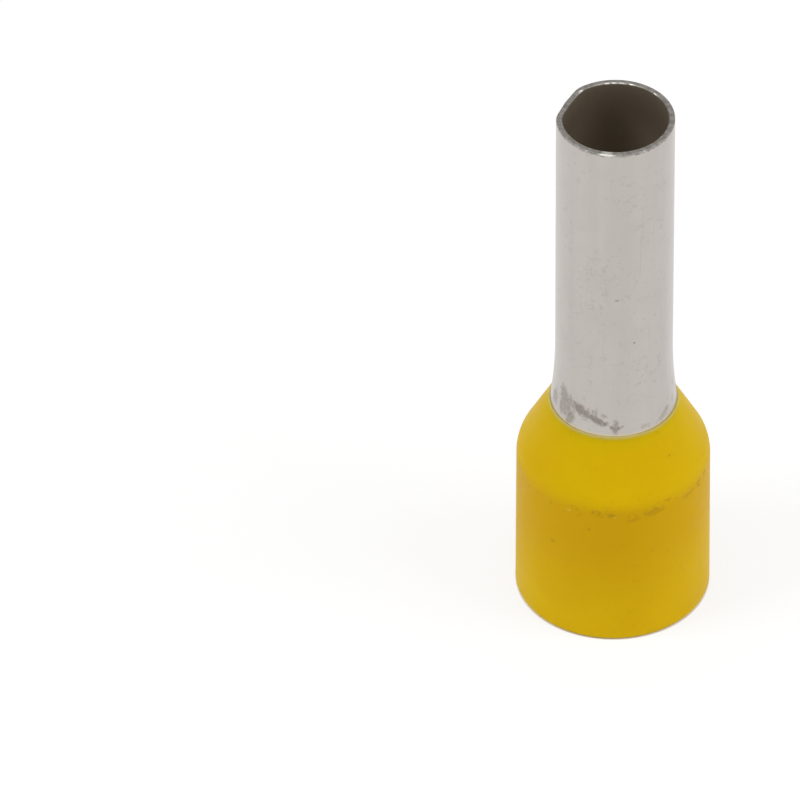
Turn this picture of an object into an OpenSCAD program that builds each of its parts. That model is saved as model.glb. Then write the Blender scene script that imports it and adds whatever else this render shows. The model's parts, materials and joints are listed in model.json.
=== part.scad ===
// Insulated wire ferrule for a 6 mm2 stranded core: a thin drawn sleeve whose foot opens like a
// trumpet, and a moulded collar that grips that foot in its conical shoulder. Millimetres.
// The origin is the centre of the collar's rim, and +Z runs up the sleeve to its open mouth.

/* [Sleeve] */
// Bore of the straight sleeve, which takes the bare strands
bore_d = 3.5; // [2.8:0.1:4.2]
// Thickness of the sleeve's wall
sleeve_wall = 0.2; // [0.14:0.02:0.3]
// Length of the sleeve that stands out of the collar
sleeve_len = 12; // [6:0.5:22]
// Rounding on the edges of the cut mouth and of the lip inside the collar
edge_round = 0.05; // [0.01:0.01:0.06]

/* [Trumpet foot] */
// Length of the gentle flare, from the straight tube down to the collar's neck
flare_len = 2.4; // [1.6:0.1:5]
// Growth of the sleeve's radius over that flare
flare_rise = 0.16; // [0.1:0.02:0.26]
// Length of the straight funnel at the end of the foot, inside the collar
funnel_len = 0.28; // [0.1:0.02:0.6]
// Room between the sleeve's lip and the line of the collar's bore
lip_inset = 0.09; // [0.02:0.01:0.2]

/* [Dented mouth] */
// Depth of the flat that is pressed into the mouth
dent_depth = 0.12; // [0.04:0.02:0.3]
// Length of the sleeve over which that flat runs out
dent_len = 2; // [1:0.5:6]
// Direction of the flat round the sleeve, from +X towards +Y
dent_angle = 154; // [0:1:359]

/* [Collar] */
// Length of the collar, from its rim to its neck
collar_len = 8; // [6:0.5:16]
// Bore of the collar, which takes the wire's insulation
collar_bore_d = 5.72; // [5.2:0.02:7]
// Thickness of the collar's wall at the rim
collar_wall = 0.4; // [0.36:0.02:0.8]
// Draft of the mould: how much thinner that wall is at the shoulder
collar_draft = 0.03; // [0:0.01:0.1]
// Height of the conical shoulder between the barrel and the neck
shoulder_h = 2.1; // [1.8:0.1:4]
// Radius that softens the edge between the barrel and the shoulder
shoulder_round = 1.2; // [0.2:0.1:2]
// Thickness of the plastic where its neck ends on the sleeve
neck_edge = 0.04; // [0.03:0.01:0.2]
// Length of the thin land round the neck, which lies along the sleeve's flare
neck_land = 0.12; // [0.1:0.02:0.5]
// Radius of the hollow that blends the shoulder into the neck
neck_blend = 0.4; // [0.1:0.05:0.6]
// Rounding on the rim's outer edge
rim_round = 0.14; // [0.05:0.01:0.17]
// Rounding on the rim's inner edge, which guides the wire in
lead_in = 0.16; // [0.05:0.01:0.2]

/* [Fit] */
// Clearance between the sleeve's foot and the plastic that grips it
seat_gap = 0.01; // [0:0.01:0.03]

/* [Hidden] */
// Facets round a turned shape, steps along an arc of a profile and steps round a small edge
$fn = 120;
ARC_STEPS = 12;
EDGE_STEPS = 4;
// How far a cutting shape runs past the solid that it cuts
OVERRUN = 1;

// Heights and radii that both pieces work from
neck_z = collar_len;
mouth_z = collar_len + sleeve_len;
bore_r = bore_d / 2;
sleeve_r = bore_r + sleeve_wall;
neck_r = sleeve_r + flare_rise;
collar_bore_r = collar_bore_d / 2;

// The flare is one arc that leaves the straight tube tangentially
flare_r = (flare_len ^ 2 + flare_rise ^ 2) / (2 * flare_rise);
flare_a = asin(flare_len / flare_r);
flare_c = [sleeve_r + flare_r, neck_z + flare_len];

// Corners of the collar's outside. Between them the shoulder is a cone, which the funnel at the
// sleeve's foot lies parallel to
neck_top = [neck_r + seat_gap + neck_edge, neck_z];
land_foot = neck_top + neck_land * [sin(flare_a), -cos(flare_a)];
shoulder = [collar_bore_r + collar_wall - collar_draft, collar_len - shoulder_h];
cone_a = atan((shoulder.x - land_foot.x) / (land_foot.y - shoulder.y));

// From the neck a tighter arc turns the skin to the funnel's slope, just where the funnel begins
lip_r = collar_bore_r - lip_inset;
trumpet_r = (lip_r - funnel_len * sin(cone_a) - neck_r) / (cos(flare_a) - cos(cone_a));
trumpet_c = [neck_r, neck_z] + trumpet_r * [cos(flare_a), sin(flare_a)];

function unit(v) = v / norm(v);

function backwards(points) = [for (i = [len(points) - 1:-1:0]) points[i]];

// Point of an arc on its side towards the axis, at an angle below the horizontal
function arc_point(centre, radius, angle) = centre - radius * [cos(angle), sin(angle)];

// Steps of such an arc from one angle to another, both ends included
function arc(centre, radius, from, to) =
    [for (i = [0:ARC_STEPS]) arc_point(centre, radius, from + (to - from) * i / ARC_STEPS)];

// Corner p of a profile, rounded between its neighbours a and b
function rounded(a, p, b, radius, steps = EDGE_STEPS) =
    let (
        to_a = unit(a - p),
        to_b = unit(b - p),
        half = acos(to_a * to_b) / 2,
        centre = p + unit(to_a + to_b) * radius / sin(half),
        first = p + to_a * radius / tan(half) - centre,
        last = p + to_b * radius / tan(half) - centre,
        start = atan2(first.y, first.x),
        turn = (atan2(last.y, last.x) - start + 540) % 360 - 180
    )
    [for (i = [0:steps]) centre + radius * [cos(start + turn * i / steps), sin(start + turn * i / steps)]];

// The flare and the trumpet, at a distance outside the sleeve's outer skin, from the top down
function flare_path(off) = arc(flare_c, flare_r - off, 0, flare_a);
function trumpet_path(off) = arc(trumpet_c, trumpet_r - off, flare_a, cone_a);

// Point of the funnel at such a distance, and at a length down from the trumpet's end
function funnel_point(off, length) =
    arc_point(trumpet_c, trumpet_r - off, cone_a) + length * [sin(cone_a), -cos(cone_a)];

// Wall of the sleeve: round the mouth, down the outer skin, round the lip and up the bore
module sleeve_profile() {
    mouth_out = [sleeve_r, mouth_z];
    mouth_in = [bore_r, mouth_z];
    lip_out = funnel_point(0, funnel_len);
    lip_in = funnel_point(-sleeve_wall, funnel_len);
    polygon(concat(
        rounded(mouth_in, mouth_out, [sleeve_r, neck_z], edge_round),
        flare_path(0),
        trumpet_path(0),
        rounded(funnel_point(0, 0), lip_out, lip_in, edge_round),
        rounded(lip_out, lip_in, funnel_point(-sleeve_wall, 0), edge_round),
        backwards(trumpet_path(-sleeve_wall)),
        backwards(flare_path(-sleeve_wall)),
        rounded([bore_r, neck_z], mouth_in, mouth_out, edge_round)
    ));
}

// Block beyond a flat face that leans in over the dent's length, from a radius at the dent's foot
module beyond_flat(radius) {
    rotate([0, 0, dent_angle])
        translate([radius, 0, mouth_z - dent_len])
            rotate([0, -atan(dent_depth / dent_len), 0])
                translate([0, -radius, -OVERRUN])
                    cube([radius, 2 * radius, dent_len + 3 * OVERRUN]);
}

// The dent moves the wall in as a whole: its outside is cut flat, and its inside gains as much
module metal_sleeve() {
    color("silver")
        difference() {
            union() {
                rotate_extrude()
                    sleeve_profile();
                intersection() {
                    translate([0, 0, mouth_z - dent_len])
                        cylinder(h = dent_len, r = bore_r + sleeve_wall / 2);
                    beyond_flat(bore_r);
                }
            }
            beyond_flat(sleeve_r);
        }
}

// Wall of the collar: down the outside, round the rim, up the bore and along the sleeve's seat
module collar_profile() {
    rim_out = [collar_bore_r + collar_wall, 0];
    rim_in = [collar_bore_r, 0];
    // The seat's cone runs on past the lip until it reaches the collar's bore
    seat_top = funnel_point(seat_gap, 0);
    seat_foot = funnel_point(seat_gap, (collar_bore_r - seat_top.x) / sin(cone_a));
    neck_in = [neck_r + seat_gap / cos(flare_a), neck_z];
    polygon(concat(
        [neck_top],
        rounded(neck_top, land_foot, shoulder, neck_blend),
        rounded(land_foot, shoulder, rim_out, shoulder_round, ARC_STEPS),
        rounded(shoulder, rim_out, rim_in, rim_round),
        rounded(rim_out, rim_in, seat_foot, lead_in),
        [seat_foot],
        [for (i = [ARC_STEPS:-1:1]) trumpet_path(seat_gap)[i]],
        [neck_in]
    ));
}

module plastic_collar() {
    color("gold")
        rotate_extrude()
            collar_profile();
}

metal_sleeve();
plastic_collar();
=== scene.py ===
"""Dresses an insulated wire ferrule: a thin tinned sleeve, held by its flared foot in a yellow collar.

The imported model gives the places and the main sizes. Each piece is turned here ring by ring, with finer
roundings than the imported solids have, and then gets its finish. Sizes are in metres, as multiples of MM.
Only the marks and zones of a finish are in millimetres, as its patterns are.
"""

import json
import logging
import math
from dataclasses import dataclass
from enum import Enum
from typing import Callable, Iterable, Sequence

import bpy
from mathutils import Matrix, Vector


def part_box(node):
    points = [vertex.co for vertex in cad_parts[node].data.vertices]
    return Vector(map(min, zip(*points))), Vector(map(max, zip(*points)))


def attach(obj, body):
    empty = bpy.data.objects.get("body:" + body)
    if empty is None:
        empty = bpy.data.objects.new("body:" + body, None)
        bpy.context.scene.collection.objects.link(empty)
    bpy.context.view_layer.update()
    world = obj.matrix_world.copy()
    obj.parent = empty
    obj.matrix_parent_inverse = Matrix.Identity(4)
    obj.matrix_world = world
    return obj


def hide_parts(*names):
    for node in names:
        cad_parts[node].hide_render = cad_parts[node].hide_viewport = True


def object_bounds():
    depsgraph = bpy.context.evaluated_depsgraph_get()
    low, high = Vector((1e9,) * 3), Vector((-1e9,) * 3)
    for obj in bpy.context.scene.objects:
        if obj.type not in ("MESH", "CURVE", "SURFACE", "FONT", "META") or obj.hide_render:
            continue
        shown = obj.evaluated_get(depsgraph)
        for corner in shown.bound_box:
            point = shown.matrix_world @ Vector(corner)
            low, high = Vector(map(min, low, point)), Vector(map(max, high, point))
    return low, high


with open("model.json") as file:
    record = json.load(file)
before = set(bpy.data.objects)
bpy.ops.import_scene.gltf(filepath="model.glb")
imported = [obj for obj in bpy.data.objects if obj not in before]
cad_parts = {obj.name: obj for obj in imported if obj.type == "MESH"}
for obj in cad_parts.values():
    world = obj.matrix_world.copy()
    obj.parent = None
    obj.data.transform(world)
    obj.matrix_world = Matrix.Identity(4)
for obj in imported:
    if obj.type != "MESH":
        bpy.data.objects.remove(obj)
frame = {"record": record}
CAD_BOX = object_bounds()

MM = 0.001
# Rings of a turned piece have this many corners, so that each spans two degrees
SEGMENTS = 180
# Straight stretches of an outline get a ring about this often
RING_SPACING = 0.4 * MM
# Two points closer than this are the same point
SAME_POINT = 0.0005 * MM
# Edges that turn less than this many degrees are shaded smooth
SMOOTH_BELOW = 35
# Skin lines the bore where its normal's cosine against the way outwards is below this
FACES_INWARDS = -0.5
# The sleeve's mesh holds this value, by which its finish tells the bore from the outside
LINING = "lining"

log = logging.getLogger("ferrule")

Point = tuple[float, float]
Colour = tuple[float, float, float]
# Two ends of a range
Span = tuple[float, float]
Socket = bpy.types.NodeSocket
Sockets = bpy.types.bpy_prop_collection
Outputs = dict[str, Socket]
Input = Socket | float | Sequence[float]


class Node(Enum):
    """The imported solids, which the pieces made here stand for."""

    SLEEVE = "metal_sleeve"
    COLLAR = "plastic_collar"


class Slot(Enum):
    """The record's material slots."""

    TIN = "tinned_copper"
    PLASTIC = "yellow_polypropylene"


class Mount(Enum):
    """The record's mounts that hold a radius."""

    STRANDS = "strand_bore"
    INSULATION = "insulation_bore"
    SLEEVE = "sleeve_outside"


def mount_radius(mount: Mount) -> float:
    """Reads the radius of a mount.

    Args:
        mount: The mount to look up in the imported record.

    Returns:
        Its radius in metres.
    """
    entry = next(m for m in frame["record"]["mounts"] if m["name"] == mount.value)
    return entry["dims"]["r_mm"] * MM


# ---- Turning ----


def arc(centre: Point, radius: float, start: float, end: float, steps: int) -> list[Point]:
    """Points of an arc on its side towards the axis.

    Args:
        centre: The arc's centre, as radius and height.
        radius: The arc's radius.
        start: Angle of the first point below the horizontal, in radians.
        end: Angle of the last point below the horizontal, in radians.
        steps: Number of chords.

    Returns:
        The points from start to end, both included.
    """
    angles = [start + (end - start) * i / steps for i in range(steps + 1)]
    return [(centre[0] - radius * math.cos(a), centre[1] - radius * math.sin(a)) for a in angles]


class Lathe:
    """Turns one closed wall round the Z axis, ring after ring, and rounds its corners."""

    def __init__(self, name: str) -> None:
        """Gets ready.

        Args:
            name: The name that the finished piece will have.
        """
        self.name = name
        self.here: Point = (0.0, 0.0)
        self.piece: bpy.types.Object | None = None

    def start(self, at: Point) -> None:
        """Lays down the first ring.

        Args:
            at: Its radius and height.
        """
        bpy.ops.object.select_all(action="DESELECT")
        bpy.ops.mesh.primitive_circle_add(
            vertices=SEGMENTS, radius=at[0], fill_type="NOTHING", location=(0, 0, at[1])
        )
        bpy.ops.object.transform_apply(location=True, rotation=False, scale=False)
        self.piece = bpy.context.object
        self.piece.name = self.piece.data.name = self.name
        self.here = at
        bpy.ops.object.mode_set(mode="EDIT")

    def draw(self, to: Point, spacing: float = math.inf) -> None:
        """Draws the wall on in a straight line.

        Args:
            to: Radius and height where the line ends.
            spacing: Longest step between two rings.
        """
        length = math.dist(self.here, to)
        steps = max(1, math.ceil(length / spacing))
        start = self.here
        for i in range(1, steps + 1):
            radius, height = (a + (b - a) * i / steps for a, b in zip(start, to))
            rise = height - self.here[1]
            bpy.ops.mesh.extrude_region_move(TRANSFORM_OT_translate={"value": (0, 0, rise)})
            scale = radius / self.here[0]
            bpy.ops.transform.resize(value=(scale, scale, 1), center_override=(0, 0, height))
            self.here = (radius, height)

    def follow(self, path: Iterable[Point]) -> None:
        """Draws the wall through each point of a path in turn.

        Args:
            path: Radius and height of each point.
        """
        for point in path:
            if math.dist(self.here, point) > SAME_POINT:
                self.draw(point)

    def close(self, start: Point) -> None:
        """Draws the wall back to its first ring and joins the two.

        Args:
            start: Radius and height of the first ring.
        """
        self.draw(start, RING_SPACING)
        bpy.ops.mesh.select_all(action="SELECT")
        bpy.ops.mesh.remove_doubles(threshold=SAME_POINT)
        bpy.ops.mesh.normals_make_consistent(inside=False)

    def select(self, wanted: Callable[[Vector], bool], edges: bool) -> None:
        """Selects what lies at a place.

        Args:
            wanted: Says of a corner whether it is at that place.
            edges: Whether to select the edges between such corners, or the corners alone.
        """
        bpy.ops.object.mode_set(mode="OBJECT")
        bpy.context.tool_settings.mesh_select_mode = (not edges, edges, False)
        mesh = self.piece.data
        chosen = [wanted(v.co) for v in mesh.vertices]
        for polygon in mesh.polygons:
            polygon.select = False
        for edge in mesh.edges:
            edge.select = edges and all(chosen[v] for v in edge.vertices)
        for vertex in mesh.vertices:
            vertex.select = chosen[vertex.index] and not edges
        bpy.ops.object.mode_set(mode="EDIT")

    def round_corner(self, before: Point, corner: Point, after: Point, radius: float, steps: int) -> None:
        """Rounds the ring at a corner of the outline.

        Args:
            before: The outline's point before the corner.
            corner: The corner itself.
            after: The outline's point after the corner.
            radius: Radius of the rounding.
            steps: Number of faces across the rounding.
        """
        self.select(lambda co: math.dist((math.hypot(co.x, co.y), co.z), corner) < SAME_POINT, edges=True)
        to_before, to_after = (Vector(point) - Vector(corner) for point in (before, after))
        bpy.ops.mesh.bevel(
            offset_type="OFFSET",
            offset=radius / math.tan(to_before.angle(to_after) / 2),
            segments=steps,
            affect="EDGES",
            clamp_overlap=False,
            loop_slide=False,
        )

    def finish(self) -> bpy.types.Object:
        """Ends the work on the mesh.

        Returns:
            The finished piece.
        """
        bpy.ops.mesh.select_all(action="SELECT")
        bpy.ops.mesh.normals_make_consistent(inside=False)
        bpy.ops.mesh.select_all(action="DESELECT")
        bpy.ops.object.mode_set(mode="OBJECT")
        bpy.ops.object.shade_smooth_by_angle(angle=math.radians(SMOOTH_BELOW))
        return self.piece


# ---- Shader nodes ----


class Graph:
    """A node tree, with short ways to add nodes and join them."""

    def __init__(self, tree: bpy.types.NodeTree) -> None:
        """Takes the tree to work on and empties it."""
        self.tree = tree
        tree.nodes.clear()

    def add(self, kind: str, **settings: object) -> bpy.types.Node:
        """Adds a node.

        Args:
            kind: The node's type, without its ShaderNode prefix.
            settings: Properties to set on it.

        Returns:
            The new node.
        """
        node = self.tree.nodes.new("ShaderNode" + kind)
        for key, value in settings.items():
            setattr(node, key, value)
        return node

    def feed(self, socket: Socket, value: Input) -> None:
        """Joins a socket to another, or sets its value.

        Args:
            socket: The input to fill.
            value: An output to link it to, or a plain value.
        """
        if isinstance(value, Socket):
            self.tree.links.new(value, socket)
        elif socket.type == "RGBA":
            socket.default_value = (*value, 1.0)
        else:
            socket.default_value = value

    def maths(self, operation: str, *values: Input) -> Socket:
        """Adds a Math node.

        Args:
            operation: What it works out.
            values: Its inputs in turn.

        Returns:
            The result.
        """
        node = self.add("Math", operation=operation)
        for socket, value in zip(node.inputs, values):
            self.feed(socket, value)
        return node.outputs[0]

    def product(self, first: Input, *others: Input) -> Socket:
        """Multiplies values.

        Args:
            first: The first value.
            others: What it is multiplied by, one after another.

        Returns:
            The product.
        """
        for other in others:
            first = self.maths("MULTIPLY", first, other)
        return first

    def inverse(self, mask: Input) -> Socket:
        """Returns one less a mask."""
        return self.maths("SUBTRACT", 1.0, mask)

    def remap(
        self, value: Input, low: float, high: float, to_low: float = 0.0, to_high: float = 1.0
    ) -> Socket:
        """Maps a range smoothly to another and holds the result inside it.

        Args:
            value: What to map.
            low: Where the range begins.
            high: Where the range ends.
            to_low: Result at low.
            to_high: Result at high.

        Returns:
            The mapped value.
        """
        node = self.add("MapRange", interpolation_type="SMOOTHSTEP")
        for socket, entry in zip(node.inputs, (value, low, high, to_low, to_high)):
            self.feed(socket, entry)
        return node.outputs[0]

    def rise(self, value: Input, level: float, drops: Span) -> Socket:
        """Maps a span under a level to a smooth rise from 0 to 1.

        Args:
            value: What to map.
            level: The level.
            drops: How far under it the rise begins and ends, with a minus where that is above it.

        Returns:
            The mapped value.
        """
        return self.remap(value, level - drops[0], level - drops[1])

    def noise(self, at: Input, scale: Input, detail: float = 2.0, stretch: float = 1.0) -> Socket:
        """Adds a noise pattern.

        Args:
            at: Coordinates to read it at, in millimetres.
            scale: Features in a millimetre.
            detail: Number of finer layers.
            stretch: How many times longer than wide the features are along Z.

        Returns:
            The pattern's value, from 0 to 1.
        """
        mapping = self.add("Mapping")
        mapping.inputs["Scale"].default_value = (1.0, 1.0, 1.0 / stretch)
        self.feed(mapping.inputs["Vector"], at)
        node = self.add("TexNoise")
        self.feed(node.inputs["Vector"], mapping.outputs[0])
        self.feed(node.inputs["Scale"], scale)
        node.inputs["Detail"].default_value = detail
        return node.outputs["Fac"]

    def mix(self, factor: Input, first: Input, second: Input) -> Socket:
        """Mixes two colours.

        Args:
            factor: Share of the second colour.
            first: The first colour.
            second: The second colour.

        Returns:
            The mixed colour.
        """
        node = self.add("Mix", data_type="RGBA")
        factor_in, first_in, second_in = (node.inputs[i] for i in (0, 6, 7))
        self.feed(factor_in, factor)
        self.feed(first_in, first)
        self.feed(second_in, second)
        return node.outputs[2]

    def bump(self, height: Input, distance: float, onto: Input | None = None) -> Socket:
        """Turns a height into a normal.

        Args:
            height: The height, from 0 to 1.
            distance: How far the surface rises from 0 to 1, in metres.
            onto: A normal that the bump comes on top of.

        Returns:
            The new normal.
        """
        node = self.add("Bump")
        node.inputs["Distance"].default_value = distance
        self.feed(node.inputs["Height"], height)
        if onto is not None:
            self.feed(node.inputs["Normal"], onto)
        return node.outputs[0]

    def use(self, group: bpy.types.NodeTree, **values: Input) -> bpy.types.Node:
        """Places a node group.

        Args:
            group: The group's tree.
            values: Its inputs by name, with underscores for spaces.

        Returns:
            The group's node.
        """
        node = self.add("Group", node_tree=group)
        for key, value in values.items():
            self.feed(node.inputs[key.replace("_", " ").capitalize()], value)
        return node


class Pattern:
    """A node group that several finishes share. It is built once, when it is first asked for."""

    title = "pattern"
    takes: dict[str, str] = {}
    gives: dict[str, str] = {}

    @classmethod
    def tree(cls) -> bpy.types.NodeTree:
        """Finds the group's tree, and builds it if it isn't there yet.

        Returns:
            The tree.
        """
        ready = bpy.data.node_groups.get(cls.title)
        if ready is not None:
            return ready
        tree = bpy.data.node_groups.new(cls.title, "ShaderNodeTree")
        for name, kind in cls.takes.items():
            tree.interface.new_socket(name=name, in_out="INPUT", socket_type="NodeSocket" + kind)
        for name, kind in cls.gives.items():
            tree.interface.new_socket(name=name, in_out="OUTPUT", socket_type="NodeSocket" + kind)
        graph = Graph(tree)
        results = cls.build(graph, tree.nodes.new("NodeGroupInput").outputs)
        end = tree.nodes.new("NodeGroupOutput")
        for name, value in results.items():
            graph.feed(end.inputs[name], value)
        return tree

    @classmethod
    def build(cls, graph: Graph, given: Sockets) -> Outputs:
        """Adds the group's nodes.

        Args:
            graph: The group's empty graph.
            given: The group's inputs, as sockets to read.

        Returns:
            What goes to each output.
        """
        raise NotImplementedError


class Turned(Pattern):
    """Where a point of a turned piece lies: the way round it, its height and its distance from the axis."""

    title = "turned place"
    takes = {"Coordinates": "Vector"}
    gives = {"Millimetres": "Vector", "Angle": "Float", "Height": "Float", "Radius": "Float"}

    @classmethod
    def build(cls, graph: Graph, given: Sockets) -> Outputs:
        """Works out the angle in degrees, and the lengths in millimetres.

        Args:
            graph: The group's empty graph.
            given: The group's inputs.

        Returns:
            What goes to each output.
        """
        scaled = graph.add("VectorMath", operation="SCALE")
        graph.feed(scaled.inputs[0], given["Coordinates"])
        scaled.inputs["Scale"].default_value = 1 / MM
        parts = graph.add("SeparateXYZ")
        graph.feed(parts.inputs[0], scaled.outputs[0])
        x, y, z = parts.outputs
        squares = graph.maths("ADD", graph.product(x, x), graph.product(y, y))
        return {
            "Millimetres": scaled.outputs[0],
            "Angle": graph.maths("DEGREES", graph.maths("ARCTAN2", y, x)),
            "Height": z,
            "Radius": graph.maths("SQRT", squares),
        }


class Mark(Pattern):
    """One ragged mark on a turned piece, such as a smudge, a speck, a nick or a painted highlight."""

    title = "mark"
    numbers = ("Angle", "Height", "Middle angle", "Middle height", "Half width", "Half length", "Lean")
    takes = {"Millimetres": "Vector"} | dict.fromkeys((*numbers, "Raggedness", "Patchiness", "Grain"), "Float")
    gives = {"Mask": "Float"}
    # Where the mark fades, how much finer its bare patches are than its edge, and which noise bares it
    edge: Span = (1.0, 0.4)
    finer = 2.3
    bare: Span = (0.58, 0.42)

    @classmethod
    def build(cls, graph: Graph, given: Sockets) -> Outputs:
        """Fades an ellipse out towards an edge that noise makes ragged, and breaks it up with finer noise.

        Args:
            graph: The group's empty graph.
            given: The group's inputs.

        Returns:
            What goes to each output.
        """
        aside = graph.maths("SUBTRACT", given["Angle"], given["Middle angle"])
        above = graph.maths("SUBTRACT", given["Height"], given["Middle height"])
        above = graph.maths("SUBTRACT", above, graph.product(aside, given["Lean"]))
        across = graph.maths("DIVIDE", aside, given["Half width"])
        along = graph.maths("DIVIDE", above, given["Half length"])
        squares = graph.maths("ADD", graph.product(across, across), graph.product(along, along))
        grain = graph.noise(given["Millimetres"], given["Grain"], detail=3.0)
        rough = graph.product(graph.maths("SUBTRACT", grain, 0.5), given["Raggedness"])
        reach = graph.maths("ADD", graph.maths("SQRT", squares), rough)
        finer = graph.noise(given["Millimetres"], graph.product(given["Grain"], cls.finer))
        bare = graph.product(graph.remap(finer, *cls.bare), given["Patchiness"])
        return {"Mask": graph.product(graph.remap(reach, *cls.edge), graph.inverse(bare))}


class DrawingMarks(Pattern):
    """Lengthwise marks that a die leaves on drawn metal: broad soft bands and a few hairlines."""

    title = "drawing marks"
    takes = {"Millimetres": "Vector"}
    gives = {"Bands": "Float", "Hairlines": "Float"}
    # Features in a millimetre, how many times longer than wide they are, and which noise shows
    bands, band_stretch = 1.6, 14.0
    band_noise: Span = (0.3, 0.7)
    hairlines, hairline_stretch = 9.0, 40.0
    hairline_noise: Span = (0.66, 0.78)

    @classmethod
    def build(cls, graph: Graph, given: Sockets) -> Outputs:
        """Stretches noise along the piece, and keeps only the peaks of the finer one as hairlines.

        Args:
            graph: The group's empty graph.
            given: The group's inputs.

        Returns:
            What goes to each output.
        """
        broad = graph.noise(given["Millimetres"], cls.bands, detail=4.0, stretch=cls.band_stretch)
        fine = graph.noise(given["Millimetres"], cls.hairlines, stretch=cls.hairline_stretch)
        return {"Bands": graph.remap(broad, *cls.band_noise), "Hairlines": graph.remap(fine, *cls.hairline_noise)}


class HandlingMarks(Pattern):
    """Faint crooked scratches and dull spots that handling leaves, in patches."""

    title = "handling marks"
    takes = {"Millimetres": "Vector"}
    gives = {"Scratches": "Float", "Spots": "Float"}
    # Features in a millimetre, and which noise shows
    patches, contours, breaks, spots = 0.7, 2.2, 3.6, 4.5
    patch_noise: Span = (0.42, 0.58)
    scratch_width: Span = (0.03, 0.008)
    break_noise: Span = (0.5, 0.58)
    spot_noise: Span = (0.6, 0.7)
    # What is left of the marks between the patches
    least = 0.25

    @classmethod
    def build(cls, graph: Graph, given: Sockets) -> Outputs:
        """Takes broken contour lines of a noise as scratches, and the peaks of another as spots.

        Args:
            graph: The group's empty graph.
            given: The group's inputs.

        Returns:
            What goes to each output.
        """
        spot = given["Millimetres"]
        patches = graph.remap(graph.noise(spot, cls.patches), *cls.patch_noise, cls.least, 1.0)
        contour = graph.maths("ABSOLUTE", graph.maths("SUBTRACT", graph.noise(spot, cls.contours, detail=3.0), 0.5))
        broken = graph.remap(graph.noise(spot, cls.breaks), *cls.break_noise)
        lines = graph.product(graph.remap(contour, *cls.scratch_width), broken)
        spots = graph.remap(graph.noise(spot, cls.spots, detail=4.0), *cls.spot_noise)
        return {"Scratches": graph.product(lines, patches), "Spots": graph.product(spots, patches)}


class Specks(Pattern):
    """Small specks strewn over a surface, each of its own size."""

    title = "specks"
    takes = {"Millimetres": "Vector", "Per millimetre": "Float", "Size": "Float", "Share": "Float"}
    gives = {"Mask": "Float"}
    # The smallest speck against the spread of sizes, and where a speck fades
    smallest = 0.3
    edge: Span = (1.0, 0.5)

    @classmethod
    def build(cls, graph: Graph, given: Sockets) -> Outputs:
        """Draws a dot in some of the cells of a Voronoi pattern.

        Args:
            graph: The group's empty graph.
            given: The group's inputs.

        Returns:
            What goes to each output.
        """
        cells = graph.add("TexVoronoi")
        graph.feed(cells.inputs["Vector"], given["Millimetres"])
        graph.feed(cells.inputs["Scale"], given["Per millimetre"])
        pick = graph.add("SeparateColor")
        graph.feed(pick.inputs[0], cells.outputs["Color"])
        shown = graph.maths("LESS_THAN", pick.outputs[0], given["Share"])
        size = graph.product(given["Size"], graph.maths("ADD", pick.outputs[1], cls.smallest))
        reach = graph.maths("DIVIDE", cells.outputs["Distance"], size)
        return {"Mask": graph.product(shown, graph.remap(reach, *cls.edge))}


# ---- Finishes ----


@dataclass(frozen=True)
class Blemish:
    """A mark at one place on a turned piece, in degrees round the axis and in millimetres."""

    middle_angle: float
    middle_height: float
    half_width: float
    half_length: float
    strength: float = 1.0
    lean: float = 0.0
    raggedness: float = 1.6
    patchiness: float = 0.6
    grain: float = 7.0

    @classmethod
    def several(cls, *rows: Sequence[float], **shared: float) -> "tuple[Blemish, ...]":
        """Makes marks that have some values in common.

        Args:
            rows: The first values of each mark, in the order of the fields.
            shared: The values that they share.

        Returns:
            The marks.
        """
        return tuple(cls(*row, **shared) for row in rows)

    def mask(self, graph: Graph, place: bpy.types.Node) -> Socket:
        """Adds the mark's mask.

        Args:
            graph: The material's graph.
            place: Its node that says where a point lies.

        Returns:
            The mask, from 0 to the mark's strength.
        """
        sizes = {name: value for name, value in vars(self).items() if name != "strength"}
        where = {name.lower(): place.outputs[name] for name in ("Millimetres", "Angle", "Height")}
        node = graph.use(Mark.tree(), **where, **sizes)
        return graph.product(node.outputs[0], self.strength)


def any_of(graph: Graph, masks: Sequence[Socket]) -> Socket:
    """Joins masks.

    Args:
        graph: The material's graph.
        masks: The masks to join.

    Returns:
        The strongest of them at each point.
    """
    joined = masks[0]
    for mask in masks[1:]:
        joined = graph.maths("MAXIMUM", joined, mask)
    return joined


class Finish:
    """What every finish shares: a material with one Principled shader and the place of each point."""

    title = "finish"

    def start(self) -> tuple[bpy.types.Material, Graph, bpy.types.Node, bpy.types.Node]:
        """Makes the bare material.

        Returns:
            The material, its graph, its shader and the node that says where a point lies.
        """
        material = bpy.data.materials.new(self.title)
        material.use_nodes = True
        graph = Graph(material.node_tree)
        shader = graph.add("BsdfPrincipled")
        output = graph.add("OutputMaterial")
        graph.feed(output.inputs["Surface"], shader.outputs[0])
        coordinates = graph.add("TexCoord")
        place = graph.use(Turned.tree(), coordinates=coordinates.outputs["Object"])
        return material, graph, shader, place


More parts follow.
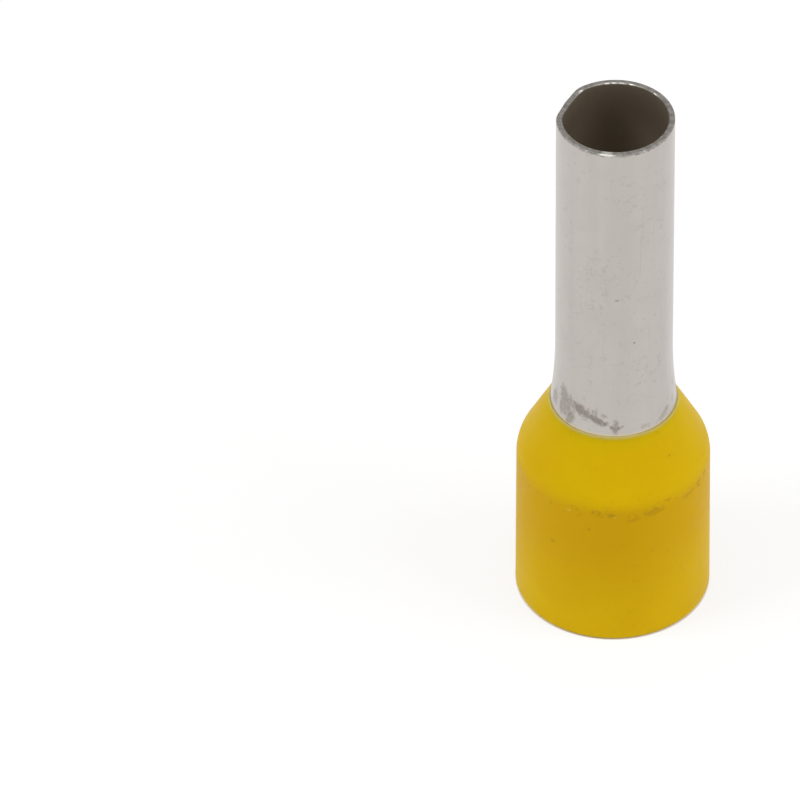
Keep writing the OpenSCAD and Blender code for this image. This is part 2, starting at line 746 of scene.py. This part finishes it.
@dataclass(frozen=True)
class TinPlate(Finish):
    """Matt tin on drawn copper. It is clean and pale outside and dull on the sheared mouth. Painted shade darkens
    its bore, painted highlights brighten the mouth's edges, and painted light from the collar lies on the foot.
    """

    mouth_height: float
    neck_height: float
    bore_radius: float
    colour: Colour = (0.54, 0.505, 0.475)
    band_colour: Colour = (0.50, 0.467, 0.437)
    mark_colour: Colour = (0.34, 0.315, 0.29)
    # The bore's painted shade: dark under the mouth, and lifted deeper down by painted light as if from the collar
    bore_colour: Colour = (0.15, 0.117, 0.082)
    deep_bore_colour: Colour = (0.37, 0.30, 0.21)
    # Painted light that the pale collar would throw on the metal next to it
    contact_colour: Colour = (0.64, 0.56, 0.38)
    # Colour of the sheared face, and of the painted shadow line under the burr
    sheared_colour: Colour = (0.182, 0.170, 0.156)
    # Colour of the burnished edges, which also serves as painted highlights
    burnished_colour: Colour = (0.80, 0.775, 0.73)
    dirt_colour: Colour = (0.25, 0.217, 0.185)
    roughness: float = 0.3
    dull_roughness: float = 0.6
    bore_metallic: float = 0.3
    # How strongly each of the marks shows
    bands: float = 0.6
    clouds: float = 0.5
    hairlines: float = 0.15
    scratches: float = 0.3
    spots: float = 0.26
    nicked: float = 0.75
    # Zones, by how far they begin and end below the mouth
    face: Span = (0.05, 0.02)
    lined: Span = (0.01, 0.05)
    shaded: Span = (4.0, 0.8)
    # The same below the neck
    lit_above: Span = (-0.12, 0.0)
    lit_below: Span = (0.1, 0.05)
    hidden: Span = (0.05, 0.15)
    # The mouth's inner edge, which is worn and carries painted highlights, by how far it lies inside the bore's
    # skin, and the painted shadow line of the burr below the mouth
    edge: Span = (-0.06, -0.03)
    line_drop: float = 0.06
    line_width: Span = (0.035, 0.01)
    # How deep the relief is
    grained: float = 0.004 * MM
    streaked: float = 0.005 * MM
    scored: float = 0.012 * MM
    smudges: tuple[Blemish, ...] = (
        Blemish(-142, 8.6, 15, 0.65, 0.6, raggedness=1.8, patchiness=0.3, grain=5.0),
        *Blemish.several((-136, 8.3, 7, 0.5, 0.65), (-136, 8.9, 9, 0.35, 0.6), patchiness=0.3, grain=5.0),
        *Blemish.several(
            (-146, 9.0, 9, 0.5, 0.55), (-162, 8.6, 9, 0.45, 0.45), raggedness=1.4, patchiness=0.2, grain=5.0
        ),
        Blemish(-123, 8.81, 15, 0.32, 0.8, lean=-0.012, raggedness=1.3, patchiness=0.2),
        Blemish(-107, 8.59, 16, 0.2, 0.85, lean=-0.0125, raggedness=1.2, patchiness=0.2),
        *Blemish.several((-110, 8.85, 4, 0.17, 0.55), (-100.5, 8.78, 4, 0.12, 0.55), raggedness=1.8, patchiness=0.5),
        *Blemish.several((-89, 8.34, 7.5, 0.16, 0.8), (-39, 8.26, 11, 0.13, 0.45, 0.014), patchiness=0.35),
        Blemish(-89, 8.36, 3.5, 0.38, 0.65, raggedness=1.4, patchiness=0.35),
        Blemish(-33, 8.38, 4, 0.15, 0.5, lean=0.014, raggedness=1.4, patchiness=0.3),
        Blemish(-60, 8.22, 8, 0.12, 0.35, raggedness=2.0, patchiness=0.4),
        *Blemish.several((-20, 8.5, 2.5, 0.25, 0.3), (-15, 9.1, 2.5, 0.3, 0.25), patchiness=0.3),
    )
    nicks: tuple[Blemish, ...] = (
        Blemish(-89, 13.77, 3.2, 0.05, 0.8, raggedness=0.8, patchiness=0.2),
        Blemish(-71, 11.86, 1.3, 0.05, raggedness=0.3, patchiness=0.0),
        *Blemish.several((-65.7, 15.6, 0.35, 1.4, 0.35), (-118, 15.1, 0.35, 0.7, 0.3), raggedness=0.4),
    )
    # Painted highlights on the mouth's outer edge, the largest at the front where a lamp would glint
    burnished: tuple[Blemish, ...] = Blemish.several(
        (-99, 19.97, 12, 0.04), (-120, 19.965, 1.6, 0.03, 0.45), (-62, 19.97, 1.2, 0.025, 0.3),
        raggedness=0.3, patchiness=0.0,
    )
    # Worn places on the mouth's inner edge, which also carry painted highlights
    polished: tuple[Blemish, ...] = Blemish.several(
        (88, 20.0, 27, 0.3), (130, 20.0, 5, 0.3), (41, 20.0, 4, 0.3, 0.8), (-35, 20.0, 3, 0.3, 0.6),
        raggedness=0.5, patchiness=0.0,
    )
    title = "tin plate"

    def material(self) -> bpy.types.Material:
        """Builds the finish.

        Returns:
            The finished material.
        """
        material, graph, shader, place = self.start()
        spot, height, radius = (place.outputs[name] for name in ("Millimetres", "Height", "Radius"))
        mouth, neck, bore = (length / MM for length in (self.mouth_height, self.neck_height, self.bore_radius))
        drawn = graph.use(DrawingMarks.tree(), millimetres=spot)
        handled = graph.use(HandlingMarks.tree(), millimetres=spot)
        clouds = graph.remap(graph.noise(spot, 1.2, detail=3.0), 0.35, 0.75, 0.0, self.clouds)

        tone = graph.mix(graph.product(drawn.outputs["Bands"], self.bands), self.colour, self.band_colour)
        tone = graph.mix(clouds, tone, self.band_colour)
        marks = [
            graph.product(drawn.outputs["Hairlines"], self.hairlines),
            graph.product(handled.outputs["Scratches"], self.scratches),
            graph.product(handled.outputs["Spots"], self.spots),
        ]
        tone = graph.mix(any_of(graph, marks), tone, self.mark_colour)
        dirt = any_of(graph, [smudge.mask(graph, place) for smudge in self.smudges])
        nicks = any_of(graph, [nick.mask(graph, place) for nick in self.nicks])
        tone = graph.mix(dirt, tone, self.dirt_colour)
        tone = graph.mix(graph.product(nicks, self.nicked), tone, self.dirt_colour)

        # The shears leave the mouth's face dull and blotchy. A ragged dark line round its outer edge is painted
        # shadow under the burr
        torn = graph.noise(spot, 6.0, detail=4.0)
        sheared = graph.product(graph.rise(height, mouth, self.face), graph.remap(torn, 0.35, 0.65, 0.76, 1.0))
        ragged = graph.maths("ADD", height, graph.remap(graph.noise(spot, 8.0, detail=3.0), 0.3, 0.7, -0.03, 0.03))
        to_shadow_line = graph.maths("ABSOLUTE", graph.maths("SUBTRACT", ragged, mouth - self.line_drop))
        painted_burr_shadow = graph.product(graph.remap(to_shadow_line, *self.line_width), graph.remap(torn, 0.3, 0.55, 0.35, 0.85))
        tone = graph.mix(graph.maths("MAXIMUM", sheared, painted_burr_shadow), tone, self.sheared_colour)

        # Here and there an edge of the mouth is burnished, with painted highlights: on the inner edge at the back,
        # and on the front of the outer edge
        polished_and_highlit_places = any_of(graph, [part.mask(graph, place) for part in self.polished])
        inner_edge = graph.product(graph.rise(radius, bore, self.edge), sheared)
        highlit_inner_edge = graph.product(inner_edge, polished_and_highlit_places, graph.remap(torn, 0.35, 0.6))
        burnish_and_highlight = any_of(graph, [highlit_inner_edge] + [edge.mask(graph, place) for edge in self.burnished])

        # Painted light: next to the collar the metal takes a pale warm colour, as if lit by the pale plastic
        painted_collar_light = graph.product(graph.rise(height, neck, self.lit_above), graph.rise(height, neck, self.lit_below))
        tone = graph.mix(painted_collar_light, tone, self.contact_colour)

        # The bore, and all of the foot that the collar hides, get painted shade, which painted light lifts deeper
        # down the bore
        lining = graph.add("Attribute")
        lining.attribute_name = LINING
        within = graph.product(lining.outputs["Fac"], graph.rise(height, mouth, self.lined))
        within = graph.maths("MAXIMUM", within, graph.rise(height, neck, self.hidden))
        within = graph.product(within, graph.inverse(burnish_and_highlight))
        # Painted shade under the mouth, turning lighter with painted light deeper down the bore
        painted_bore_shading = graph.mix(graph.rise(height, mouth, self.shaded), self.deep_bore_colour, self.bore_colour)
        tone = graph.mix(within, tone, painted_bore_shading)
        # Burnish and painted highlights on the mouth's edges
        tone = graph.mix(burnish_and_highlight, tone, self.burnished_colour)
        graph.feed(shader.inputs["Base Color"], tone)

        graph.feed(shader.inputs["Metallic"], graph.remap(within, 0.0, 1.0, 1.0, self.bore_metallic))
        dull = graph.product(any_of(graph, [dirt, within, sheared]), graph.inverse(burnish_and_highlight))
        graph.feed(shader.inputs["Roughness"], graph.remap(dull, 0.0, 1.0, self.roughness, self.dull_roughness))
        relief = graph.bump(graph.noise(spot, 14.0, detail=3.0, stretch=3.0), self.grained)
        relief = graph.bump(drawn.outputs["Bands"], self.streaked, relief)
        graph.feed(shader.inputs["Normal"], graph.bump(graph.inverse(nicks), self.scored, relief))
        return material


@dataclass(frozen=True)
class YellowPlastic(Finish):
    """Waxy moulded polypropylene that lets a little light in, with dirt in the crease of its shoulder."""

    neck_height: float
    crease_height: float
    colour: Colour = (0.65, 0.425, 0.0)
    # The barrel's painted shade below the crease, which also tints the clouds, and painted light from the floor near
    # the rim
    deep_colour: Colour = (0.60, 0.35, 0.0)
    rim_colour: Colour = (0.68, 0.44, 0.0)
    thin_colour: Colour = (0.55, 0.425, 0.15)
    dirt_colour: Colour = (0.24, 0.14, 0.01)
    pale_colour: Colour = (0.80, 0.62, 0.10)
    specks: tuple[Blemish, ...] = (
        Blemish(-46.5, 7.0, 0.8, 0.04, 0.8, raggedness=0.4, patchiness=0.0),
        *Blemish.several(
            (-101, 5.55, 3.5, 0.12, 0.42), (-92, 5.5, 4.0, 0.14, 0.45), (-79, 5.25, 5.0, 0.12, 0.25),
            (-40, 5.45, 6.0, 0.12, 0.35), raggedness=3.6, grain=9.0,
        ),
        Blemish(-66, 5.44, 7.0, 0.2, 0.38, raggedness=3.4, grain=9.0),
        Blemish(-56.5, 5.72, 2.5, 0.09, 0.4, raggedness=3.0, grain=9.0),
        *Blemish.several((-29.5, 5.52, 3.0, 0.18, 0.5), (-21.5, 5.6, 2.5, 0.1, 0.5), raggedness=2.6, grain=9.0),
        Blemish(-105, 4.8, 1.5, 0.08, 0.35, raggedness=2.0),
        Blemish(-128.5, 3.8, 2.2, 0.1, 0.35, raggedness=2.4),
    )
    scuffs: tuple[Blemish, ...] = Blemish.several((-118, 5.45, 1.6, 0.06, 0.45), (-90, 5.4, 1.2, 0.05, 0.4))
    # Heights over which the barrel's painted light near the rim turns to painted shade, and how strongly its clouds
    # show
    deepening: Span = (0.3, 4.4)
    clouds: float = 0.35
    # Zones, by how far they begin and end below the crease or the neck, and the dirt's drop and reach
    shoulder: Span = (0.45, -0.1)
    thinned: Span = (0.13, -0.02)
    dirt_drop: float = 0.4
    dirt_reach: Span = (0.45, 0.1)
    # How strongly the strewn dirt and the rubbed spots show, and how deep the relief is
    strewn: float = 0.22
    rubbed: float = 0.08
    waxen: float = 0.005 * MM
    pitted: float = 0.006 * MM
    roughness: Span = (0.42, 0.5)
    ior: float = 1.49
    specular: float = 0.06
    subsurface: float = 0.35
    subsurface_radius: Colour = (1.0, 0.6, 0.1)
    subsurface_scale: float = 0.6 * MM
    title = "yellow plastic"

    def material(self) -> bpy.types.Material:
        """Builds the finish.

        Returns:
            The finished material.
        """
        material, graph, shader, place = self.start()
        spot, height = place.outputs["Millimetres"], place.outputs["Height"]
        neck, crease = self.neck_height / MM, self.crease_height / MM
        clouds = graph.remap(graph.noise(spot, 0.45, detail=3.0), 0.35, 0.7, 0.0, self.clouds)

        # Painted shade darkens the barrel below the crease, and painted light from the floor makes it lighter
        # towards the rim
        tone = graph.mix(graph.remap(height, *self.deepening), self.rim_colour, self.deep_colour)
        tone = graph.mix(graph.rise(height, crease, self.shoulder), tone, self.colour)
        tone = graph.mix(clouds, tone, self.deep_colour)

        # Dirt that handling leaves along the crease, where the shoulder meets the barrel
        distance = graph.maths("ABSOLUTE", graph.maths("SUBTRACT", height, crease - self.dirt_drop))
        near = graph.remap(distance, *self.dirt_reach)
        specks = graph.use(Specks.tree(), millimetres=spot, per_millimetre=7.0, size=0.5, share=0.3)
        strewn = graph.product(specks.outputs[0], near, self.strewn)
        handled = graph.use(HandlingMarks.tree(), millimetres=spot)
        rubbed = graph.product(handled.outputs["Spots"], self.rubbed)
        dirt = any_of(graph, [strewn, rubbed] + [speck.mask(graph, place) for speck in self.specks])
        tone = graph.mix(dirt, tone, self.dirt_colour)
        tone = graph.mix(any_of(graph, [scuff.mask(graph, place) for scuff in self.scuffs]), tone, self.pale_colour)

        # The neck is thin enough for the metal to show through
        tone = graph.mix(graph.rise(height, neck, self.thinned), tone, self.thin_colour)
        graph.feed(shader.inputs["Base Color"], tone)

        graph.feed(shader.inputs["Roughness"], graph.remap(graph.noise(spot, 2.5), 0.3, 0.7, *self.roughness))
        for name, value in (
            ("IOR", self.ior),
            ("Specular IOR Level", self.specular),
            ("Subsurface Weight", self.subsurface),
            ("Subsurface Radius", self.subsurface_radius),
            ("Subsurface Scale", self.subsurface_scale),
        ):
            shader.inputs[name].default_value = value
        relief = graph.bump(graph.noise(spot, 5.0), self.waxen)
        graph.feed(shader.inputs["Normal"], graph.bump(graph.inverse(dirt), self.pitted, relief))
        return material


# ---- The ferrule ----


@dataclass
class FlaredFoot:
    """The curve that the sleeve's foot and its seat in the collar share."""

    tube_radius: float
    neck_height: float
    lip_radius: float
    shoulder: Point
    neck_edge: float = 0.047 * MM
    neck_land: float = 0.12 * MM
    seat_gap: float = 0.003 * MM
    flare_length: float = 2.4 * MM
    flare_rise: float = 0.16 * MM
    funnel_length: float = 0.28 * MM
    steps: int = 14

    def __post_init__(self) -> None:
        """Works out the two arcs and the slope of the funnel below them."""
        length, rise = self.flare_length, self.flare_rise
        self.neck_radius = self.tube_radius + rise
        self.flare_radius = (length**2 + rise**2) / (2 * rise)
        self.flare_angle = math.asin(length / self.flare_radius)
        self.flare_centre = (self.tube_radius + self.flare_radius, self.neck_height + length)

        self.neck_top = (self.neck_radius + self.seat_gap + self.neck_edge, self.neck_height)
        land = self.neck_land
        self.land_foot = (
            self.neck_top[0] + land * math.sin(self.flare_angle),
            self.neck_top[1] - land * math.cos(self.flare_angle),
        )
        across = self.shoulder[0] - self.land_foot[0]
        self.cone_angle = math.atan2(across, self.land_foot[1] - self.shoulder[1])
        bend = math.cos(self.flare_angle) - math.cos(self.cone_angle)
        reach = self.lip_radius - self.funnel_length * math.sin(self.cone_angle) - self.neck_radius
        self.trumpet_radius = reach / bend
        self.trumpet_centre = (
            self.neck_radius + self.trumpet_radius * math.cos(self.flare_angle),
            self.neck_height + self.trumpet_radius * math.sin(self.flare_angle),
        )

    def flare(self, off: float) -> list[Point]:
        """Path of the flare from the tube down, at a distance outside the sleeve's skin."""
        return arc(self.flare_centre, self.flare_radius - off, 0, self.flare_angle, self.steps)

    def trumpet(self, off: float) -> list[Point]:
        """Path of the trumpet from the neck down, at a distance outside the sleeve's skin."""
        return arc(self.trumpet_centre, self.trumpet_radius - off, self.flare_angle, self.cone_angle, self.steps)

    def funnel(self, off: float, length: float) -> Point:
        """Point of the funnel, at such a distance and at a length down from the trumpet's end."""
        radius, height = self.trumpet(off)[-1]
        return (radius + length * math.sin(self.cone_angle), height - length * math.cos(self.cone_angle))


@dataclass
class MetalSleeve:
    """The tinned tube, with its dented mouth at the top and its flared foot inside the collar."""

    foot: FlaredFoot
    mouth_height: float
    outer_radius: float
    bore_radius: float
    edge_rounding: float = 0.05 * MM
    dent_depth: float = 0.12 * MM
    dent_length: float = 2.0 * MM
    dent_reach: float = 0.8 * MM
    dent_angle: float = 154.0
    dent_middle: float = 6.0
    # Corners this many roundings below the mouth still belong to its edge
    edge_reach: float = 1.5

    def build(self) -> bpy.types.Object:
        """Turns the tube and dents its mouth.

        Returns:
            The finished sleeve.
        """
        wall = self.outer_radius - self.bore_radius
        mouth_out = (self.outer_radius, self.mouth_height)
        mouth_in = (self.bore_radius, self.mouth_height)
        lip_out = self.foot.funnel(0, self.foot.funnel_length)
        lip_in = self.foot.funnel(-wall, self.foot.funnel_length)
        flare, trumpet = self.foot.flare(0), self.foot.trumpet(0)
        inner_flare, inner_trumpet = self.foot.flare(-wall), self.foot.trumpet(-wall)

        lathe = Lathe("tinned_sleeve")
        lathe.start(mouth_out)
        lathe.draw(flare[0], RING_SPACING)
        lathe.follow(flare + trumpet + [lip_out, lip_in])
        lathe.follow(inner_trumpet[::-1] + inner_flare[::-1])
        lathe.draw(mouth_in, RING_SPACING)
        lathe.close(mouth_out)
        for before, corner, after in (
            (mouth_in, mouth_out, flare[0]),
            (mouth_out, mouth_in, inner_flare[0]),
            (trumpet[-1], lip_out, lip_in),
            (lip_out, lip_in, inner_trumpet[-1]),
        ):
            lathe.round_corner(before, corner, after, self.edge_rounding, steps=5)
        self._dent(lathe)
        sleeve = lathe.finish()
        self._mark_lining(sleeve)
        return sleeve

    def _dent(self, lathe: Lathe) -> None:
        """Presses the mouth in on one side. The dent runs out down the tube and round it.

        Args:
            lathe: The lathe that has turned the tube.
        """
        heading = math.radians(self.dent_angle)
        inwards = Vector((-math.cos(heading), -math.sin(heading), 0)) * self.dent_depth
        top = self.mouth_height - self.edge_reach * self.edge_rounding

        def at_dent(co: Vector) -> bool:
            """Says whether a corner is on the mouth, in the middle of the dent."""
            aside = math.degrees(math.atan2(co.y, co.x)) - self.dent_angle
            return co.z > top and abs(aside) < self.dent_middle

        squash = self.dent_reach / self.dent_length
        pivot = (0, 0, self.mouth_height)
        bpy.ops.mesh.select_all(action="SELECT")
        bpy.ops.transform.resize(value=(1, 1, squash), center_override=pivot)
        lathe.select(lambda co: at_dent(Vector((co.x, co.y, pivot[2] + (co.z - pivot[2]) / squash))), edges=False)
        bpy.ops.transform.translate(
            value=inwards,
            use_proportional_edit=True,
            proportional_edit_falloff="SMOOTH",
            proportional_size=self.dent_reach,
        )
        bpy.ops.mesh.select_all(action="SELECT")
        bpy.ops.transform.resize(value=(1, 1, 1 / squash), center_override=pivot)

    def _mark_lining(self, sleeve: bpy.types.Object) -> None:
        """Gives each corner of the mesh a one if its skin faces the axis, and a nought otherwise.

        Args:
            sleeve: The finished sleeve.
        """
        lining = sleeve.data.attributes.new(LINING, "FLOAT", "POINT")
        for corner, mark in zip(sleeve.data.vertices, lining.data):
            outwards = Vector((corner.co.x, corner.co.y, 0)).normalized()
            mark.value = 1.0 if corner.normal.dot(outwards) < FACES_INWARDS else 0.0

    def finish(self) -> TinPlate:
        """Returns the finish that suits this tube's sizes."""
        return TinPlate(self.mouth_height, self.foot.neck_height, self.bore_radius)


@dataclass
class PlasticCollar:
    """The yellow collar: a barrel that takes the wire's insulation, a conical shoulder and a thin neck."""

    foot: FlaredFoot
    rim_radius: float
    bore_radius: float
    neck_rounding: float = 0.03 * MM
    neck_blend: float = 0.4 * MM
    shoulder_rounding: float = 1.2 * MM
    rim_rounding: float = 0.14 * MM
    lead_in: float = 0.16 * MM

    def build(self) -> bpy.types.Object:
        """Turns the collar.

        Returns:
            The finished collar.
        """
        foot = self.foot
        gap = foot.seat_gap
        shoulder = foot.shoulder
        rim_out, rim_in = (self.rim_radius, 0.0), (self.bore_radius, 0.0)
        seat_top = foot.funnel(gap, 0)
        seat_foot = foot.funnel(gap, (self.bore_radius - seat_top[0]) / math.sin(foot.cone_angle))
        seat = foot.trumpet(gap)[:0:-1]
        neck_in = (foot.neck_radius + gap / math.cos(foot.flare_angle), foot.neck_height)

        lathe = Lathe("yellow_collar")
        lathe.start(foot.neck_top)
        lathe.draw(foot.land_foot)
        for corner in (shoulder, rim_out, rim_in, seat_foot):
            lathe.draw(corner, RING_SPACING)
        lathe.follow(seat + [neck_in])
        lathe.close(foot.neck_top)
        for before, corner, after, rounding, steps in (
            (neck_in, foot.neck_top, foot.land_foot, self.neck_rounding, 3),
            (foot.neck_top, foot.land_foot, shoulder, self.neck_blend, 5),
            (foot.land_foot, shoulder, rim_out, self.shoulder_rounding, 8),
            (shoulder, rim_out, rim_in, self.rim_rounding, 6),
            (rim_out, rim_in, seat_foot, self.lead_in, 6),
        ):
            lathe.round_corner(before, corner, after, rounding, steps)
        return lathe.finish()

    def finish(self) -> YellowPlastic:
        """Returns the finish that suits this collar's sizes."""
        return YellowPlastic(self.foot.neck_height, self.foot.shoulder[1])


class Ferrule:
    """The whole ferrule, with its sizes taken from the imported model."""

    def __init__(self) -> None:
        """Reads the main sizes from the frame."""
        _, sleeve_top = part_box(Node.SLEEVE.value)
        collar_foot, collar_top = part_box(Node.COLLAR.value)
        outer_radius, bore_radius = mount_radius(Mount.SLEEVE), mount_radius(Mount.STRANDS)
        insulation_radius = mount_radius(Mount.INSULATION)
        rim_radius = max(collar_top[0], -collar_foot[0])
        draft, lip_inset, shoulder_height = 0.03 * MM, 0.09 * MM, 2.1 * MM
        foot = FlaredFoot(
            tube_radius=outer_radius,
            neck_height=collar_top[2],
            lip_radius=insulation_radius - lip_inset,
            shoulder=(rim_radius - draft, collar_top[2] - shoulder_height),
        )
        self.sleeve = MetalSleeve(foot, sleeve_top[2], outer_radius, bore_radius)
        self.collar = PlasticCollar(foot, rim_radius, insulation_radius)

    def build(self) -> None:
        """Makes both pieces, dresses them and sets them in the frame."""
        for maker, node, slot in (
            (self.sleeve, Node.SLEEVE, Slot.TIN),
            (self.collar, Node.COLLAR, Slot.PLASTIC),
        ):
            piece = maker.build()
            piece.data.materials.append(maker.finish().material())
            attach(piece, "root")
            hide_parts(node.value)
            log.info("%s: %d faces", piece.name, len(piece.data.polygons))


# ---- The studio ----


def outwards(azimuth: float, elevation: float) -> Vector:
    """Returns the way from the ferrule to what stands at these angles, in degrees."""
    turn, lift = math.radians(azimuth), math.radians(elevation)
    return Vector((math.sin(turn) * math.cos(lift), -math.cos(turn) * math.cos(lift), math.sin(lift)))


def seen_or_mirrored(graph: Graph) -> Socket:
    """Tells the rays that the camera sends straight, or by way of metal or glass, from those that light things.

    Args:
        graph: The graph of a floor or a world.

    Returns:
        A mask that is 1 for such rays.
    """
    rays = graph.add("LightPath")
    return any_of(graph, [rays.outputs[f"Is {kind} Ray"] for kind in ("Camera", "Glossy", "Transmission")])


@dataclass(frozen=True)
class SoftBox:
    """A square lamp that faces the ferrule."""

    name: str
    azimuth: float
    elevation: float
    distance: float
    size: float
    power: float

    def build(self, target: Vector) -> None:
        """Hangs the lamp.

        Args:
            target: What it faces.
        """
        away = outwards(self.azimuth, self.elevation)
        lamp = bpy.data.lights.new(self.name, "AREA")
        lamp.size, lamp.energy = self.size, self.power
        holder = bpy.data.objects.new(self.name, lamp)
        holder.location = target + away * self.distance
        holder.rotation_mode = "QUATERNION"
        holder.rotation_quaternion = away.to_track_quat("Z", "Y")
        bpy.context.collection.objects.link(holder)


@dataclass(frozen=True)
class Studio:
    """A pale floor, an even sky and soft lamps."""

    standing_radius: float
    floor_size: float = 4.0
    floor_colour: Colour = (0.88, 0.88, 0.88)
    floor_glow: float = 0.75
    floor_fade: tuple[float, float] = (0.03, 0.15)
    sky_strength: float = 0.6
    lamps: tuple[SoftBox, ...] = (
        SoftBox("key", -75, 52, 0.30, 0.12, 0.31),
        SoftBox("fill", 74, 42, 0.35, 0.20, 0.46),
    )

    def build(self, target: Vector) -> None:
        """Makes the studio round a point.

        Args:
            target: What the lamps face.
        """
        self._sky()
        self._floor()
        for lamp in self.lamps:
            lamp.build(target)

    def _sky(self) -> None:
        """Lights the scene evenly. The camera and the metal see the sky as white."""
        world = bpy.data.worlds.new("studio sky")
        world.use_nodes = True
        bpy.context.scene.world = world
        graph = Graph(world.node_tree)
        sky = graph.add("Background")
        graph.feed(sky.inputs["Strength"], graph.remap(seen_or_mirrored(graph), 0, 1, self.sky_strength, 1.0))
        sky.inputs["Color"].default_value = (1, 1, 1, 1)
        graph.feed(graph.add("OutputWorld").inputs["Surface"], sky.outputs[0])

    def _floor(self) -> None:
        """Lays the floor, which glows white where it is seen but keeps the shadow, and not under the ferrule."""
        bpy.ops.object.select_all(action="DESELECT")
        bpy.ops.mesh.primitive_plane_add(size=self.floor_size)
        floor = bpy.context.object
        floor.name = "floor"
        material = bpy.data.materials.new("pale floor")
        material.use_nodes = True
        graph = Graph(material.node_tree)
        coordinates = graph.add("TexCoord")
        place = graph.use(Turned.tree(), coordinates=coordinates.outputs["Object"])
        open_floor = graph.maths("GREATER_THAN", place.outputs["Radius"], self.standing_radius / MM)
        near, far = (distance / MM for distance in self.floor_fade)
        strength = graph.remap(place.outputs["Radius"], near, far, self.floor_glow, 1.0)
        plain = graph.add("BsdfDiffuse")
        graph.feed(plain.inputs["Color"], self.floor_colour)
        half = graph.add("BsdfDiffuse")
        graph.feed(half.inputs["Color"], graph.inverse(strength))
        glow = graph.add("Emission")
        graph.feed(glow.inputs["Strength"], strength)
        lit = graph.add("AddShader")
        graph.feed(lit.inputs[0], half.outputs[0])
        graph.feed(lit.inputs[1], glow.outputs[0])
        choice = graph.add("MixShader")
        graph.feed(choice.inputs[0], graph.product(seen_or_mirrored(graph), open_floor))
        graph.feed(choice.inputs[1], plain.outputs[0])
        graph.feed(choice.inputs[2], lit.outputs[0])
        graph.feed(graph.add("OutputMaterial").inputs["Surface"], choice.outputs[0])
        floor.data.materials.append(material)


@dataclass(frozen=True)
class Viewpoint:
    """Where the camera stands. Its aim is off the axis, so that the ferrule stands right of the middle."""

    aim: tuple[float, float, float] = (-7.1 * MM, -0.08 * MM, 7.91 * MM)
    distance: float = 465.2 * MM
    azimuth: float = 0.0
    elevation: float = 40.88
    roll: float = -0.36
    lens: float = 630.0
    sensor: float = 36.0
    clip_ratio: float = 20.0

    def build(self) -> None:
        """Sets up the camera."""
        turn, roll = math.radians(self.azimuth), math.radians(self.roll)
        back = outwards(self.azimuth, self.elevation)
        data = bpy.data.cameras.new("camera")
        data.lens, data.sensor_width = self.lens, self.sensor
        data.clip_start, data.clip_end = self.distance / self.clip_ratio, self.distance * self.clip_ratio
        camera = bpy.data.objects.new("camera", data)
        level = Vector((math.cos(turn), math.sin(turn), 0))
        upright = back.cross(level)
        right = level * math.cos(roll) + upright * math.sin(roll)
        facing = Matrix((right, back.cross(right), back)).transposed()
        camera.rotation_mode = "QUATERNION"
        camera.rotation_quaternion = facing.to_quaternion()
        camera.location = Vector(self.aim) + back * self.distance
        bpy.context.collection.objects.link(camera)
        bpy.context.scene.camera = camera


def main() -> None:
    """Builds the ferrule, then the studio round it."""
    logging.basicConfig(level=logging.INFO, format="%(name)s: %(message)s")
    bpy.context.scene.view_settings.view_transform = "Standard"
    ferrule = Ferrule()
    ferrule.build()
    lowest, highest = (Vector(corner) for corner in CAD_BOX)
    Studio(standing_radius=ferrule.collar.rim_radius).build((lowest + highest) / 2)
    Viewpoint().build()


if __name__ == "__main__":
    main()
